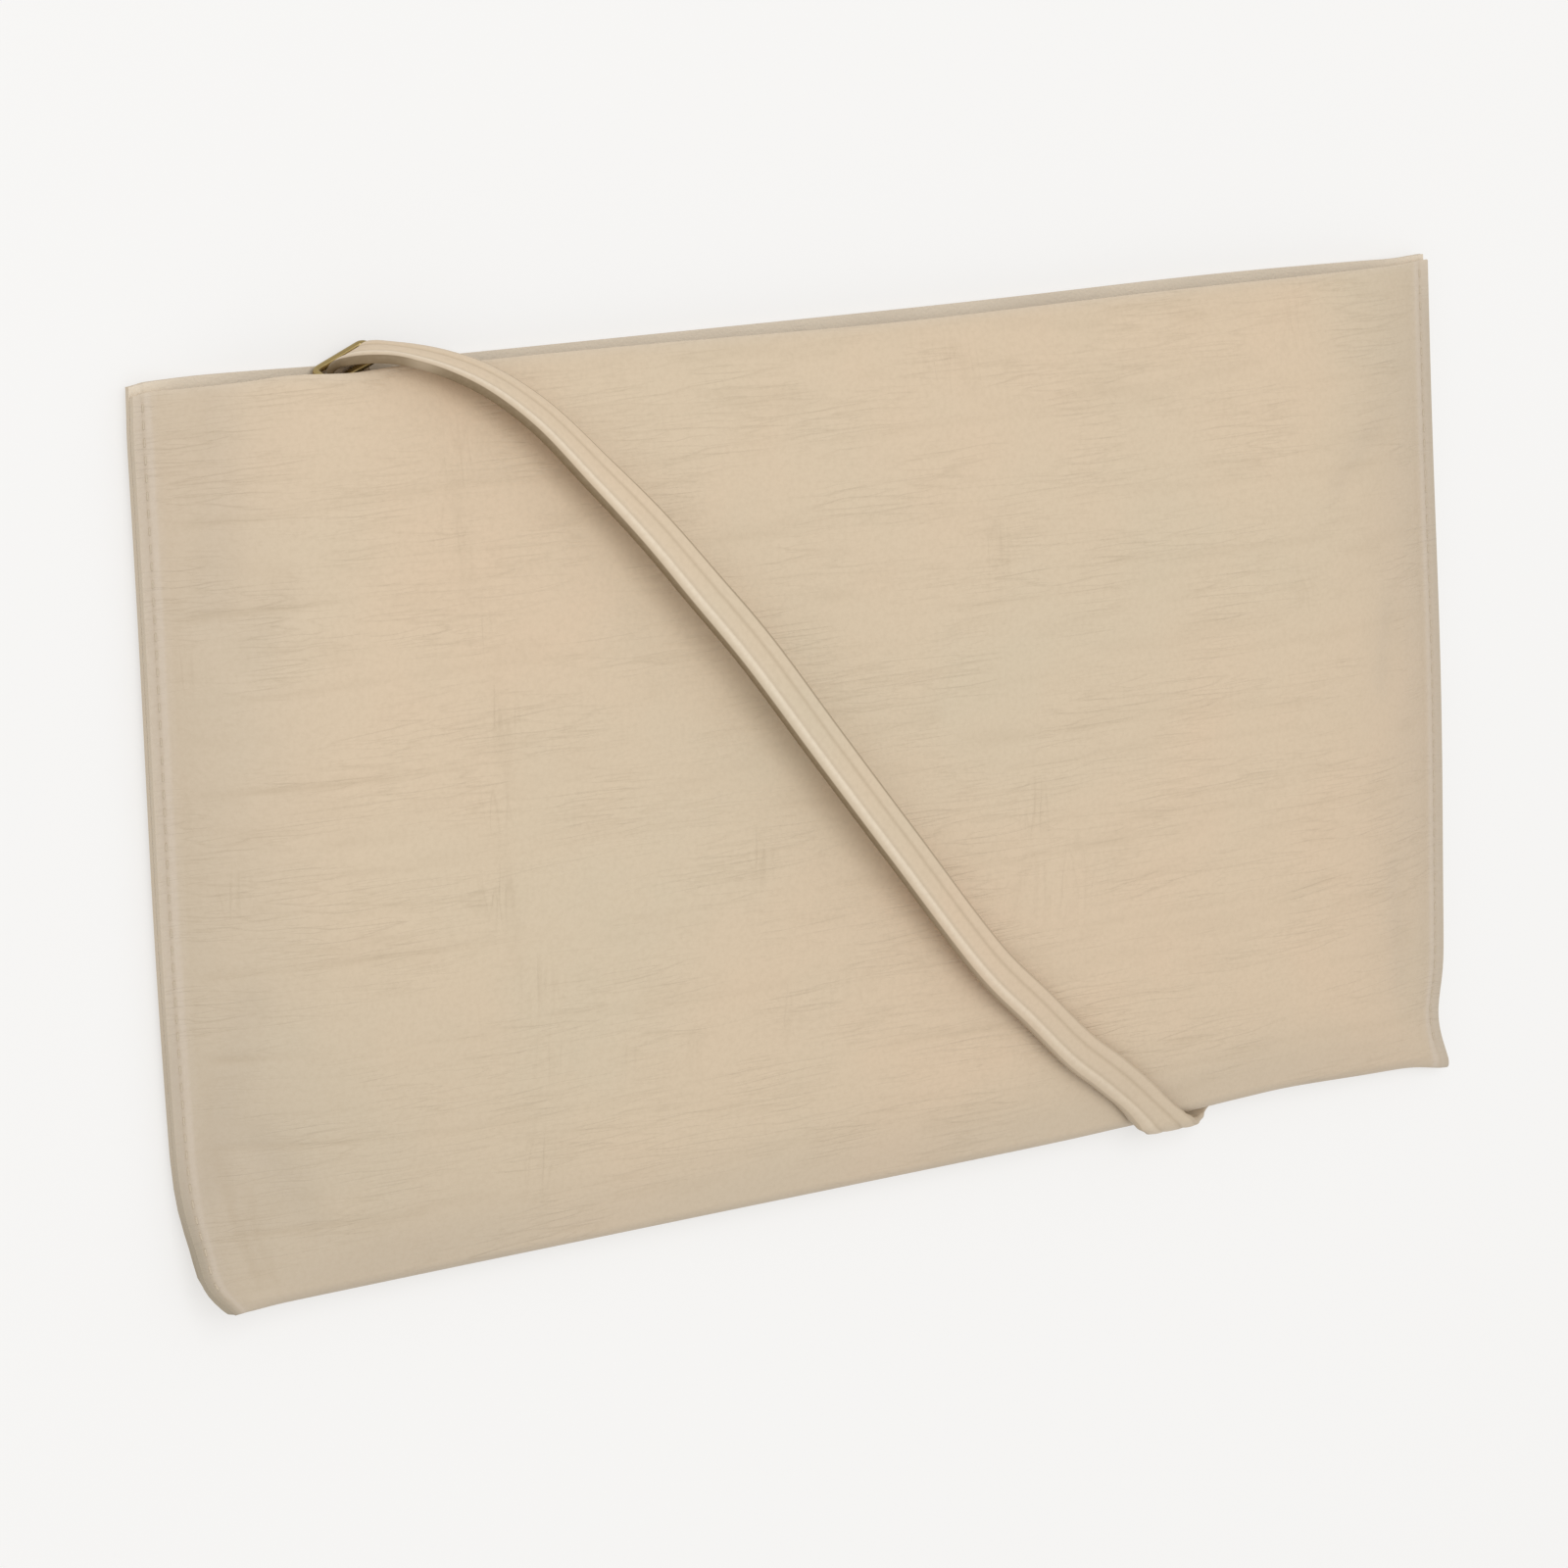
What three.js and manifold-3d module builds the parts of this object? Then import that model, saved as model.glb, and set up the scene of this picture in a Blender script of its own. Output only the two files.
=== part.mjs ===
// Soft leather pouch, lying on its back, with a hand strap that crosses its front.
// Millimetres, +Z up. +X runs along the mouth, +Y points to the mouth, +Z out of the front.
// The origin is on the resting surface, under the middle of the pouch.
import * as THREE from 'three';
import * as BufferGeometryUtils from 'three/addons/utils/BufferGeometryUtils.js';
import Module from 'manifold-3d';

const wasm = await Module();
wasm.setup();

// Driving sizes of the pouch
const width = 350;
const height = 200;
const leather = 1.6;
const seamWidth = 4.8;
const seamLow = 1.6;
const seamTop = seamLow + 2 * leather;
const foldCrown = 7.6;
const mouthCrown = 8.9;
const bellyRise = 9.6;
const bellyPower = 2.3;
const sideRun = 70;
const sidePower = 3;
const backRun = 14;
const hollowEdge = 7;
const foldDepth = 3;
const foldLine = -height / 2 + foldDepth;
const frontShort = 0.9;

// Driving sizes of the strap and its ring
const strapWidth = 10;
const strapThick = 2.2;
const strapEdge = 0.6;
const strapSteps = 96;
const channelLift = 2.6;
const channelHalf = 7.5;
const channelRun = 13;
const channelAhead = 13;
const wire = 1.8;
const ringLong = 13.1;
const ringShort = 6.2;
const ringCorner = 1.3;
const ringPlace = { x: -123.4, y: 100.9, z: 5.7, slant: 23, lean: 25 };

// The embossed rows that run across the front. They stand a little further apart away from the left seam,
// and they are clearest near it.
const rowCount = 9;
const firstRow = 70.4;
const rowPitch = 19.05;
const rowDepth = 0.4;
const rowHalf = 2.4;
const rowFan = 0.05;
const rowFanRun = 80;
const rowClear = 55;
const rowLeast = 0.45;

// How the rows wander, and how their depth comes and goes: a wave's length, size and step from row to row
const wanderWaves = [
  { length: 47, size: 0.6, step: 1.9 },
  { length: 19, size: 0.35, step: 4.1 },
];
const depthWaves = [
  { length: 23, size: 0.35, step: 2.7 },
  { length: 9.5, size: 0.3, step: 5.3 },
];
const depthMiddle = 0.6;

// Distances over which the drawn-in corner at the lower left fades out, how fast, and how far its tip moves
const curlAcross = 80;
const curlUp = 42;
const curlPower = 3;
const curlShift = new THREE.Vector3(8.6, 1.2, 7.4);

// How the outline leaves the plain rectangle: round each place, how far the move spreads, and its size
const outlineMoves = [
  { x: -175, y: 0, spreadX: 40, spreadY: 400, moveX: 1.0, moveY: 0 },
  { x: -175, y: -25, spreadX: 40, spreadY: 62, moveX: -1.1, moveY: 0 },
  { x: -175, y: 100, spreadX: 3, spreadY: 7, moveX: 0.4, moveY: -1.4 },
  { x: -175, y: -93, spreadX: 9, spreadY: 6, moveX: -1.7, moveY: -0.5 },
  { x: 175, y: 0, spreadX: 40, spreadY: 300, moveX: -0.6, moveY: 0 },
  { x: 175, y: -5, spreadX: 40, spreadY: 55, moveX: 1.3, moveY: 0 },
  { x: 175, y: 100, spreadX: 6, spreadY: 8, moveX: 0, moveY: 0.6 },
  { x: 175, y: -87, spreadX: 12, spreadY: 9, moveX: -2.0, moveY: 0 },
  { x: 175, y: -100, spreadX: 7, spreadY: 5, moveX: 1.8, moveY: -1.8 },
  { x: 0, y: -100, spreadX: 600, spreadY: 26, moveX: 0, moveY: 1.0 },
  { x: 117, y: -100, spreadX: 36, spreadY: 26, moveX: 0, moveY: 2.0 },
];

// Where the front's rim stands up beside the ring or dips, and where the back's rim rises
const frontRises = [
  { x: -139, spread: 11, rise: 0.9 },
  { x: -119, spread: 12, rise: -0.5 },
  { x: 15, spread: 55, rise: -1.0 },
];
const backRises = [
  { x: -160, spread: 35, rise: 1.0 },
  { x: 115, spread: 55, rise: 0.85 },
];

// The mouth stands open a little where the strap and its ring come out
const mouthGap = { x: -123, rise: 3.1, spreadX: 24, spreadY: 30 };

const leatherColour = 0xd3bea1;
const goldColour = 0xc9a45c;

// Soft hollows in the front: place, length along the angle, half width and depth
const hollows = [
  { x: -158, y: 74, length: 46, angle: 84, half: 5, depth: 1.1 },
  { x: -150, y: 47, length: 14, angle: 60, half: 5, depth: 0.9 },
  { x: -163, y: -52, length: 40, angle: 74, half: 4, depth: 1.0 },
  { x: -151, y: -74, length: 26, angle: 118, half: 4, depth: 0.9 },
  { x: 147, y: 55, length: 20, angle: 38, half: 4, depth: 0.9 },
  { x: 153, y: 8, length: 16, angle: 80, half: 4, depth: 0.8 },
  { x: 158, y: -62, length: 30, angle: 96, half: 4, depth: 0.8 },
];

// Where the strap runs, from its sewn end inside the mouth to the bottom fold: the middle of its
// thickness, and the way its outer face looks
const strapFront = [
  { x: -111.5, y: 72.5, z: 3.3, nx: 0, ny: 0, nz: -1 },
  { x: -117.2, y: 86.0, z: 3.4, nx: 0, ny: 0, nz: -1 },
  { x: -121.4, y: 95.8, z: 3.9, nx: -0.06, ny: 0.14, nz: -0.99 },
  { x: -123.5, y: 100.7, z: 5.6, nx: -0.2, ny: 0.45, nz: -0.87 },
  { x: -122.8, y: 103.1, z: 9.2, nx: -0.36, ny: 0.92, nz: -0.1 },
  { x: -120.0, y: 103.6, z: 12.6, nx: -0.24, ny: 0.95, nz: 0.18 },
  { x: -114.1, y: 102.5, z: 15.8, nx: -0.08, ny: 0.94, nz: 0.34 },
  { x: -105.9, y: 99.8, z: 18.2, nx: 0.1, ny: 0.84, nz: 0.52 },
  { x: -97.0, y: 95.4, z: 20.2, nx: 0.18, ny: 0.7, nz: 0.68 },
  { x: -86.5, y: 87.2, z: 22.2, nx: 0.2, ny: 0.54, nz: 0.81 },
  { x: -73.9, y: 73.9, z: 24.2, nx: 0.16, ny: 0.36, nz: 0.91 },
  { x: -62.1, y: 61.0, z: 25.5, nx: 0.1, ny: 0.2, nz: 0.97 },
  { x: -50.1, y: 46.7, z: 26.3, nx: 0.04, ny: 0.08, nz: 1 },
  { x: -37.9, y: 32.0, z: 26.8, nx: 0, ny: 0, nz: 1 },
  { x: -19.8, y: 7.7, z: 27.0, nx: 0, ny: 0, nz: 1 },
  { x: -0.7, y: -16.9, z: 26.0, nx: 0, ny: 0, nz: 1 },
  { x: 25.9, y: -49.0, z: 22.4, nx: 0, ny: 0, nz: 1 },
  { x: 39.4, y: -61.5, z: 20.0, nx: 0, ny: -0.04, nz: 1 },
  { x: 53.5, y: -74.3, z: 16.8, nx: 0.01, ny: -0.1, nz: 1 },
  { x: 64.1, y: -82.1, z: 14.0, nx: 0.02, ny: -0.16, nz: 0.98 },
  { x: 73.0, y: -89.0, z: 11.6, nx: 0.03, ny: -0.22, nz: 0.97 },
];

// Under the bottom fold the strap makes half a turn of a screw, and lies flat on the back to its sewn end
const wrap = { x: 80.5, y: -95.8, radius: 4.5, advance: 17.5, steps: 5, nearFold: 6, fade: 26 };
const strapEnd = { x: 129, y: -68 };
const backShares = [0.12, 0.4, 0.7, 1];

function strapStations() {
  const turned = [];
  for (let k = 0; k <= wrap.steps; k += 1) {
    const turn = (Math.PI * k) / wrap.steps;
    turned.push({
      x: wrap.x + (wrap.advance * k) / wrap.steps,
      y: wrap.y - wrap.radius * Math.sin(turn),
      z: strapThick / 2 + wrap.radius * (1 + Math.cos(turn)),
      nx: 0,
      ny: -Math.sin(turn),
      nz: Math.cos(turn),
    });
  }
  const last = turned[turned.length - 1];
  const onBack = backShares.map((t) => ({
    ...last,
    x: THREE.MathUtils.lerp(last.x, strapEnd.x, t),
    y: THREE.MathUtils.lerp(last.y, strapEnd.y, t),
  }));
  return [...strapFront, ...turned, ...onBack];
}

// Round the fold the strap bends along lines that run with the fold, and elsewhere straight across
function foldShare(y) {
  return 1 - smooth((y + height / 2 - wrap.nearFold) / wrap.fade);
}

function smooth(t) {
  const s = THREE.MathUtils.clamp(t, 0, 1);
  return s * s * (3 - 2 * s);
}

function bump(distance, half) {
  return Math.exp(-((distance / half) ** 2));
}

// How far a point lies inside the seam line of the nearer side
function inside(x) {
  return width / 2 - seamWidth - Math.abs(x);
}

function sideRise(x) {
  const a = THREE.MathUtils.clamp(inside(x) / sideRun, 0, 1);
  return 1 - (1 - a) ** sidePower;
}

// Height of the front along its middle, from the bottom fold to the mouth
function crown(y) {
  const v = THREE.MathUtils.clamp(y / height + 0.5, 0, 1);
  const belly = 1 - Math.abs(2 * v - 1) ** bellyPower;
  return THREE.MathUtils.lerp(foldCrown, mouthCrown, v) + bellyRise * belly;
}

function mouthLift(x, y) {
  const fromMouth = Math.max(0, height / 2 - y);
  const lift = mouthGap.rise * bump(x - mouthGap.x, mouthGap.spreadX) * bump(fromMouth, mouthGap.spreadY);
  return lift * smooth(inside(x) / hollowEdge);
}

function hollow(x, y) {
  let sum = 0;
  for (const h of hollows) {
    const turn = THREE.MathUtils.degToRad(h.angle);
    const along = (x - h.x) * Math.cos(turn) + (y - h.y) * Math.sin(turn);
    const across = -(x - h.x) * Math.sin(turn) + (y - h.y) * Math.cos(turn);
    const past = Math.max(0, Math.abs(along) - h.length / 2);
    sum += h.depth * bump(across, h.half) * bump(past, h.half);
  }
  return sum * smooth(inside(x) / hollowEdge);
}

function frontSkin(x, y) {
  return seamTop + (crown(y) - seamTop) * sideRise(x) + mouthLift(x, y) - hollow(x, y);
}

// The back lies flat but for its rim at the seams and the shallow channel over the strap's end
function channel(x, y) {
  const from = new THREE.Vector2(wrap.x + wrap.advance, wrap.y);
  const to = new THREE.Vector2(strapEnd.x, strapEnd.y);
  from.addScaledVector(to.clone().sub(from).normalize(), -channelAhead);
  const run = to.clone().sub(from);
  const point = new THREE.Vector2(x, y).sub(from);
  const t = THREE.MathUtils.clamp(point.dot(run) / run.lengthSq(), 0, 1);
  const distance = point.sub(run.multiplyScalar(t)).length();
  return channelLift * (1 - smooth((distance - channelHalf) / channelRun));
}

function backSkin(x, y) {
  return seamLow * (1 - smooth(inside(x) / backRun)) + channel(x, y);
}

// Wall thickness measured upright through a sloping skin
function wallThrough(skin, x, y) {
  const step = 0.5;
  const slopeX = (skin(x + step, y) - skin(x - step, y)) / (2 * step);
  const slopeY = (skin(x, y + step) - skin(x, y - step)) / (2 * step);
  return leather * Math.sqrt(1 + slopeX * slopeX + slopeY * slopeY);
}

function waveSum(waves, row, x) {
  return waves.reduce((sum, wave) => sum + wave.size * Math.sin(x / wave.length + row * wave.step), 0);
}

function rowLine(row, x) {
  const fan = 1 + rowFan * smooth((x + width / 2) / rowFanRun);
  return (firstRow - row * rowPitch) * fan + waveSum(wanderWaves, row, x);
}

function rowStrength(row, x) {
  const wave = THREE.MathUtils.clamp(depthMiddle + waveSum(depthWaves, row, x), 0, 1);
  const clear = rowLeast + (1 - rowLeast) * bump(x + width / 2, rowClear);
  return wave * clear * smooth(inside(x) / hollowEdge);
}

function drape(point) {
  const { x, y } = point;
  const acrossLeft = Math.max(0, 1 - (x + width / 2) / curlAcross);
  const upLeft = Math.max(0, 1 - (y + height / 2) / curlUp);
  const out = point.clone().addScaledVector(curlShift, (acrossLeft * upLeft) ** curlPower);
  for (const move of outlineMoves) {
    const share = bump(x - move.x, move.spreadX) * bump(y - move.y, move.spreadY);
    out.x += move.moveX * share;
    out.y += move.moveY * share;
  }
  return out;
}

function rimLine(level, rises, x) {
  return level + rises.reduce((sum, part) => sum + part.rise * bump(x - part.x, part.spread), 0);
}

function frontRim(x) {
  return rimLine(height / 2 - frontShort, frontRises, x);
}

function backRim(x) {
  return rimLine(height / 2, backRises, x);
}

// A closed solid through loops of points that run round it, capped at both ends or joined end to end
function loft(loops, joined = false) {
  const count = loops[0].length;
  const positions = loops.flat().flatMap((p) => [p.x, p.y, p.z]);
  const indices = [];
  const bands = joined ? loops.length : loops.length - 1;
  for (let i = 0; i < bands; i += 1) {
    const next = (i + 1) % loops.length;
    for (let k = 0; k < count; k += 1) {
      const a = i * count + k;
      const b = i * count + ((k + 1) % count);
      const c = next * count + ((k + 1) % count);
      const d = next * count + k;
      indices.push(a, b, c, a, c, d);
    }
  }
  if (!joined) {
    for (const end of [0, loops.length - 1]) {
      const axes = flatAxes(loops[end]);
      const outline = loops[end].map((p) => new THREE.Vector2(p.dot(axes[0]), p.dot(axes[1])));
      for (const face of THREE.ShapeUtils.triangulateShape(outline, [])) {
        const [a, b, c] = face.map((k) => end * count + k);
        indices.push(...(end === 0 ? [a, c, b] : [a, b, c]));
      }
    }
  }
  const geometry = new THREE.BufferGeometry();
  geometry.setAttribute('position', new THREE.Float32BufferAttribute(positions, 3));
  geometry.setIndex(indices);
  return geometry;
}

// Two axes that span the flat face that a loop encloses
function flatAxes(loop) {
  const normal = new THREE.Vector3();
  loop.forEach((p, k) => normal.add(p.clone().cross(loop[(k + 1) % loop.length])));
  normal.normalize();
  const nearlyOne = 0.9;
  const along = Math.abs(normal.y) < nearlyOne ? new THREE.Vector3(0, 1, 0) : new THREE.Vector3(1, 0, 0);
  along.addScaledVector(normal, -along.dot(normal)).normalize();
  return [along, normal.clone().cross(along)];
}

// Places across the pouch, closer together towards the seams
function spread(half, steps) {
  const ease = 0.3;
  return Array.from({ length: steps + 1 }, (_, i) => {
    const s = (2 * i) / steps - 1;
    return half * ((1 + ease) * s - ease * s ** 3);
  });
}

// The outer face of the pouch, taken as full: front, fold at the bottom, back, and a flat end at the mouth
function outerSolid() {
  const seamStep = seamWidth / 2;
  const steps = 46;
  const belowRim = [0, 4, 13];
  const foldSteps = 5;
  const backRows = 17;
  const backEase = 1.5;
  const edge = width / 2;
  const between = spread(edge - seamWidth, steps);
  const across = [-edge, -edge + seamStep, ...between, edge - seamStep, edge];
  const loops = across.map((x) => {
    const loop = [];
    for (const below of belowRim) {
      const y = frontRim(x) - below;
      loop.push(new THREE.Vector3(x, y, frontSkin(x, y)));
    }
    for (let row = 0; row < rowCount; row += 1) {
      const middle = rowLine(row, x);
      for (const offset of [rowHalf, 0, -rowHalf]) {
        const sunk = offset === 0 ? rowDepth * rowStrength(row, x) : 0;
        loop.push(new THREE.Vector3(x, middle + offset, frontSkin(x, middle + offset) - sunk));
      }
    }
    const front = frontSkin(x, foldLine);
    const back = backSkin(x, foldLine);
    for (let k = 0; k <= foldSteps; k += 1) {
      const turn = (Math.PI * k) / foldSteps;
      const y = foldLine - foldDepth * Math.sin(turn);
      loop.push(new THREE.Vector3(x, y, (front + back) / 2 + ((front - back) / 2) * Math.cos(turn)));
    }
    for (let k = 1; k <= backRows; k += 1) {
      const y = foldLine + (backRim(x) - foldLine) * (k / backRows) ** backEase;
      loop.push(new THREE.Vector3(x, y, backSkin(x, y)));
    }
    return loop.map(drape);
  });
  return solid(outwards(loft(loops)));
}

// The space inside, which runs out past the mouth
function innerSolid() {
  const fromSeam = 3;
  const pastMouth = 8;
  const steps = 24;
  const rows = 14;
  const leastGap = 0.5;
  const loops = spread(width / 2 - seamWidth - fromSeam, steps).map((x) => {
    const front = [];
    const back = [];
    for (let k = 0; k <= rows; k += 1) {
      const y = THREE.MathUtils.lerp(foldLine, height / 2 + pastMouth, k / rows);
      const top = frontSkin(x, y) - wallThrough(frontSkin, x, y);
      const low = backSkin(x, y) + wallThrough(backSkin, x, y);
      const middle = (top + low) / 2;
      const gap = Math.max(leastGap, top - low);
      front.push(new THREE.Vector3(x, y, middle + gap / 2));
      back.push(new THREE.Vector3(x, y, middle - gap / 2));
    }
    const turn = new THREE.Vector3(x, foldLine - (foldDepth - leather), (front[0].z + back[0].z) / 2);
    return [...front.reverse(), turn, ...back].map(drape);
  });
  return solid(outwards(loft(loops)));
}

// A closed geometry as a solid that can be cut and joined
function solid(geometry) {
  const merged = BufferGeometryUtils.mergeVertices(geometry);
  return new wasm.Manifold(new wasm.Mesh({
    numProp: 3,
    vertProperties: new Float32Array(merged.attributes.position.array),
    triVerts: new Uint32Array(merged.index.array),
  }));
}

function fromSolid(shape) {
  const mesh = shape.getMesh();
  const geometry = new THREE.BufferGeometry();
  geometry.setAttribute('position', new THREE.Float32BufferAttribute(mesh.vertProperties, 3));
  geometry.setIndex(new THREE.Uint32BufferAttribute(mesh.triVerts, 1));
  return geometry;
}

// A flat strip with eased edges along the strap's run
function strapGeometry() {
  const stations = strapStations();
  const middle = new THREE.CatmullRomCurve3(stations.map((s) => new THREE.Vector3(s.x, s.y, s.z)));
  const facing = new THREE.CatmullRomCurve3(stations.map((s) => new THREE.Vector3(s.nx, s.ny, s.nz)));
  const half = strapWidth / 2;
  const thick = strapThick / 2;
  const upper = [[half, thick - strapEdge], [half - strapEdge, thick]];
  const section = [
    ...upper,
    ...upper.map(([s, n]) => [-s, n]).reverse(),
    ...upper.map(([s, n]) => [-s, -n]),
    ...upper.map(([s, n]) => [s, -n]).reverse(),
  ];
  const loops = [];
  for (let i = 0; i <= strapSteps; i += 1) {
    const t = i / strapSteps;
    const along = middle.getTangent(t);
    const out = facing.getPoint(t);
    out.addScaledVector(along, -out.dot(along)).normalize();
    const side = along.clone().cross(out);
    const withFold = new THREE.Vector3(1, 0, 0).divideScalar(side.x);
    const centre = middle.getPoint(t);
    centre.z = Math.max(centre.z, thick);
    side.lerp(withFold, foldShare(centre.y));
    loops.push(section.map(([s, n]) => centre.clone().addScaledVector(side, s).addScaledVector(out, n)));
  }
  return loft(loops);
}

// A slim rectangular ring of wire, leaning in the mouth around the strap
function ringGeometry() {
  const centre = new THREE.Vector3(ringPlace.x, ringPlace.y, ringPlace.z);
  const slant = THREE.MathUtils.degToRad(ringPlace.slant);
  const lean = THREE.MathUtils.degToRad(ringPlace.lean);
  const long = new THREE.Vector3(Math.cos(slant), Math.sin(slant), 0);
  const up = new THREE.Vector3(-Math.sin(slant), Math.cos(slant), 0);
  const short = new THREE.Vector3(0, 0, Math.cos(lean)).addScaledVector(up, -Math.sin(lean));
  const axis = long.clone().cross(short);
  const sides = 8;
  const cornerSteps = 3;
  const loops = [];
  for (let corner = 0; corner < 4; corner += 1) {
    const signLong = corner === 0 || corner === 3 ? 1 : -1;
    const signShort = corner < 2 ? 1 : -1;
    const pivot = centre.clone()
      .addScaledVector(long, signLong * (ringLong / 2 - ringCorner))
      .addScaledVector(short, signShort * (ringShort / 2 - ringCorner));
    for (let k = 0; k <= cornerSteps; k += 1) {
      const turn = (Math.PI / 2) * (corner + k / cornerSteps);
      const outward = long.clone().multiplyScalar(Math.cos(turn)).addScaledVector(short, Math.sin(turn));
      const middle = pivot.clone().addScaledVector(outward, ringCorner);
      loops.push(Array.from({ length: sides }, (_, n) => {
        const round = (2 * Math.PI * (n + 0.5)) / sides;
        return middle.clone()
          .addScaledVector(outward, (wire / 2) * Math.cos(round))
          .addScaledVector(axis, (wire / 2) * Math.sin(round));
      }));
    }
  }
  return loft(loops, true);
}

// Turns a closed geometry so that its faces look outwards
function outwards(geometry) {
  const position = geometry.attributes.position;
  const index = geometry.index.array;
  const [a, b, c] = [new THREE.Vector3(), new THREE.Vector3(), new THREE.Vector3()];
  let volume = 0;
  for (let i = 0; i < index.length; i += 3) {
    a.fromBufferAttribute(position, index[i]);
    b.fromBufferAttribute(position, index[i + 1]);
    c.fromBufferAttribute(position, index[i + 2]);
    volume += a.dot(b.cross(c));
  }
  if (volume < 0) {
    for (let i = 0; i < index.length; i += 3) {
      [index[i], index[i + 1]] = [index[i + 1], index[i]];
    }
  }
  return geometry;
}

function piece(name, geometry, colour, roughness, metalness) {
  const material = new THREE.MeshStandardMaterial({ color: colour, roughness, metalness });
  const mesh = new THREE.Mesh(geometry, material);
  mesh.name = name;
  return mesh;
}

const pouch = new THREE.Group();
pouch.add(piece('body', fromSolid(outerSolid().subtract(innerSolid())), leatherColour, 0.55, 0));
pouch.add(piece('strap', outwards(strapGeometry()), leatherColour, 0.5, 0));
pouch.add(piece('ring', outwards(ringGeometry()), goldColour, 0.25, 1));

export default pouch;
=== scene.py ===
import math

import bpy
import numpy as np
from mathutils import Matrix, Vector


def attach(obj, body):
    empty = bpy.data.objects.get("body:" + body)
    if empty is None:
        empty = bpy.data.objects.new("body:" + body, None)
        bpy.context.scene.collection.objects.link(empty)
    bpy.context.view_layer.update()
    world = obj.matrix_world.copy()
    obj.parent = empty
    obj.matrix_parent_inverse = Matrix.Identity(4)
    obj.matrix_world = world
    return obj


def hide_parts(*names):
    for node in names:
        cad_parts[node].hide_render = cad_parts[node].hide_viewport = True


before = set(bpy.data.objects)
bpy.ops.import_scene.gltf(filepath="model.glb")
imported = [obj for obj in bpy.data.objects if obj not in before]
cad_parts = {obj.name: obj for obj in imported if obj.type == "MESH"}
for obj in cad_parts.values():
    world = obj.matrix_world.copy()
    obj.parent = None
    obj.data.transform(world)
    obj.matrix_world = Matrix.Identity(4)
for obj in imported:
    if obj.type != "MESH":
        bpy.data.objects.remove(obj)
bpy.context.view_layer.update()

# Lengths in the tables below are millimetres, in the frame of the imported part. Meshes are in metres.
mm = 0.001

# The pouch itself: one piece of leather, folded at the bottom and sewn at both sides
pouch = {
    "width": 350, "height": 200,
    "leather": 1.5,
    "seamWidth": 4.8, "seamLow": 1.6, "seamTop": 4.8,
    "foldCrown": 7.6, "mouthCrown": 8.9,  # height of the front at the fold and at the mouth
    "bellyRise": 9.6, "bellyPower": 2.3,  # how much more the middle swells
    "sideRun": 70, "sidePower": 3, "backRun": 14, "foldDepth": 3,
    "frontShort": 0.9,  # the front's rim lies this much lower than the back's
    "rimEase": 0.22, "hollowEdge": 7,
    "mouthGap": (-123, 3.1, 24, 30),  # gapes where the strap comes out: x, rise, spread across and down
    "columns": 180, "crowding": 0.12,  # how much closer together the columns stand near the seams
    "foldSteps": 15,
}

# Rows of points between the lines of the emboss
rowCounts = {"top": 14, "front": 8, "bottom": 7, "backBottom": 3, "back": 2, "backTop": 5}

# The emboss: rows of creases across, clearest near the left seam
emboss = {
    "rows": 9, "firstRow": 70.4, "rowPitch": 19.05,
    "rowDepth": 0.27, "rowHalf": 0.85,
    "fan": 0.05, "fanRun": 80,  # rows stand a little further apart away from the left seam
    "middle": 0.6, "clear": 55, "least": 0.35,
    "lipHeight": 0.09, "lipHalf": 1.2, "lipBelow": 2.1,
    "edgeRun": 7, "creaseBend": 0.03, "creaseEnd": 5, "shadeOfDepth": 3.2,
}
wanderWaves = [(47, 0.6, 1.9), (19, 0.35, 4.1)]  # mm for each radian, size, step from row to row
depthWaves = [(23, 0.35, 2.7), (9.5, 0.3, 5.3)]

# Single creases that show, and how the many small ones between them are scattered
creases = [  # from x, y to x, y, half width, depth
    (54, 79, 120, 79.5, 1.2, 0.14), (65, 37, 137, 40, 1.2, 0.15), (60, 20, 120, 20.5, 1.2, 0.13),
    (25, 1, 125, -2, 1.2, 0.15), (65, -21, 113, -21.5, 1.2, 0.13), (70, -52, 128, -50, 1.2, 0.1),
    (-105, 80, -101, 44, 1.6, 0.12), (-99, 34, -95, 4, 1.6, 0.12), (-100, -4, -95, -37, 1.6, 0.11),
    (-32, -7, -33, -25, 1.5, 0.1), (32, 93, 34, 76, 1.5, 0.1), (37, 53, 35, 37, 1.5, 0.1),
    (44, -7, 42, -22, 1.5, 0.1), (38, -28, 37, -43, 1.5, 0.1),
    (-168, -42, -168.5, -84, 1.1, 0.3), (-165, -60, -163, -97, 1.2, 0.28), (-161, -70, -157, -98, 1.3, 0.2),
]
scatter = {
    "seed": 21, "count": 230, "across": (-168, 168), "up": (-94, 96),
    "length": (8, 30), "slant": 9, "half": (0.9, 1.5), "depth": (0.03, 0.13),
}
uprights = [  # patches of fine upright creases between the scales: x, y, half width, half height, strength
    (-102, 80, 4, 6, 0.7), (-105, 64, 4, 8, 0.5), (-101, 44, 3, 7, 0.6), (-97, 23, 4, 6, 1),
    (-99, 4, 5, 6, 0.7), (-159.5, -8, 4, 5, 0.7), (-100, -16, 6, 6, 0.9), (-32, -16, 3, 6, 1),
    (-90, -37, 5, 6, 1), (-88, -54, 6, 6, 0.5), (-90, -78, 4, 7, 0.8), (29, 87, 9, 6, 0.5),
    (36, 46, 4, 7, 0.8), (43, -16, 5, 6, 0.8), (49, -34, 13, 9, 0.6), (127, 87, 7, 7, 0.4),
    (124, 26, 4, 6, 0.6), (-166, 40, 3, 5, 0.5), (-68, -56, 3, 5, 0.5), (-50, -57, 3, 5, 0.5),
    (-27, -54, 3, 9, 0.5), (-8, -50, 9, 6, 0.4),
]
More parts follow.
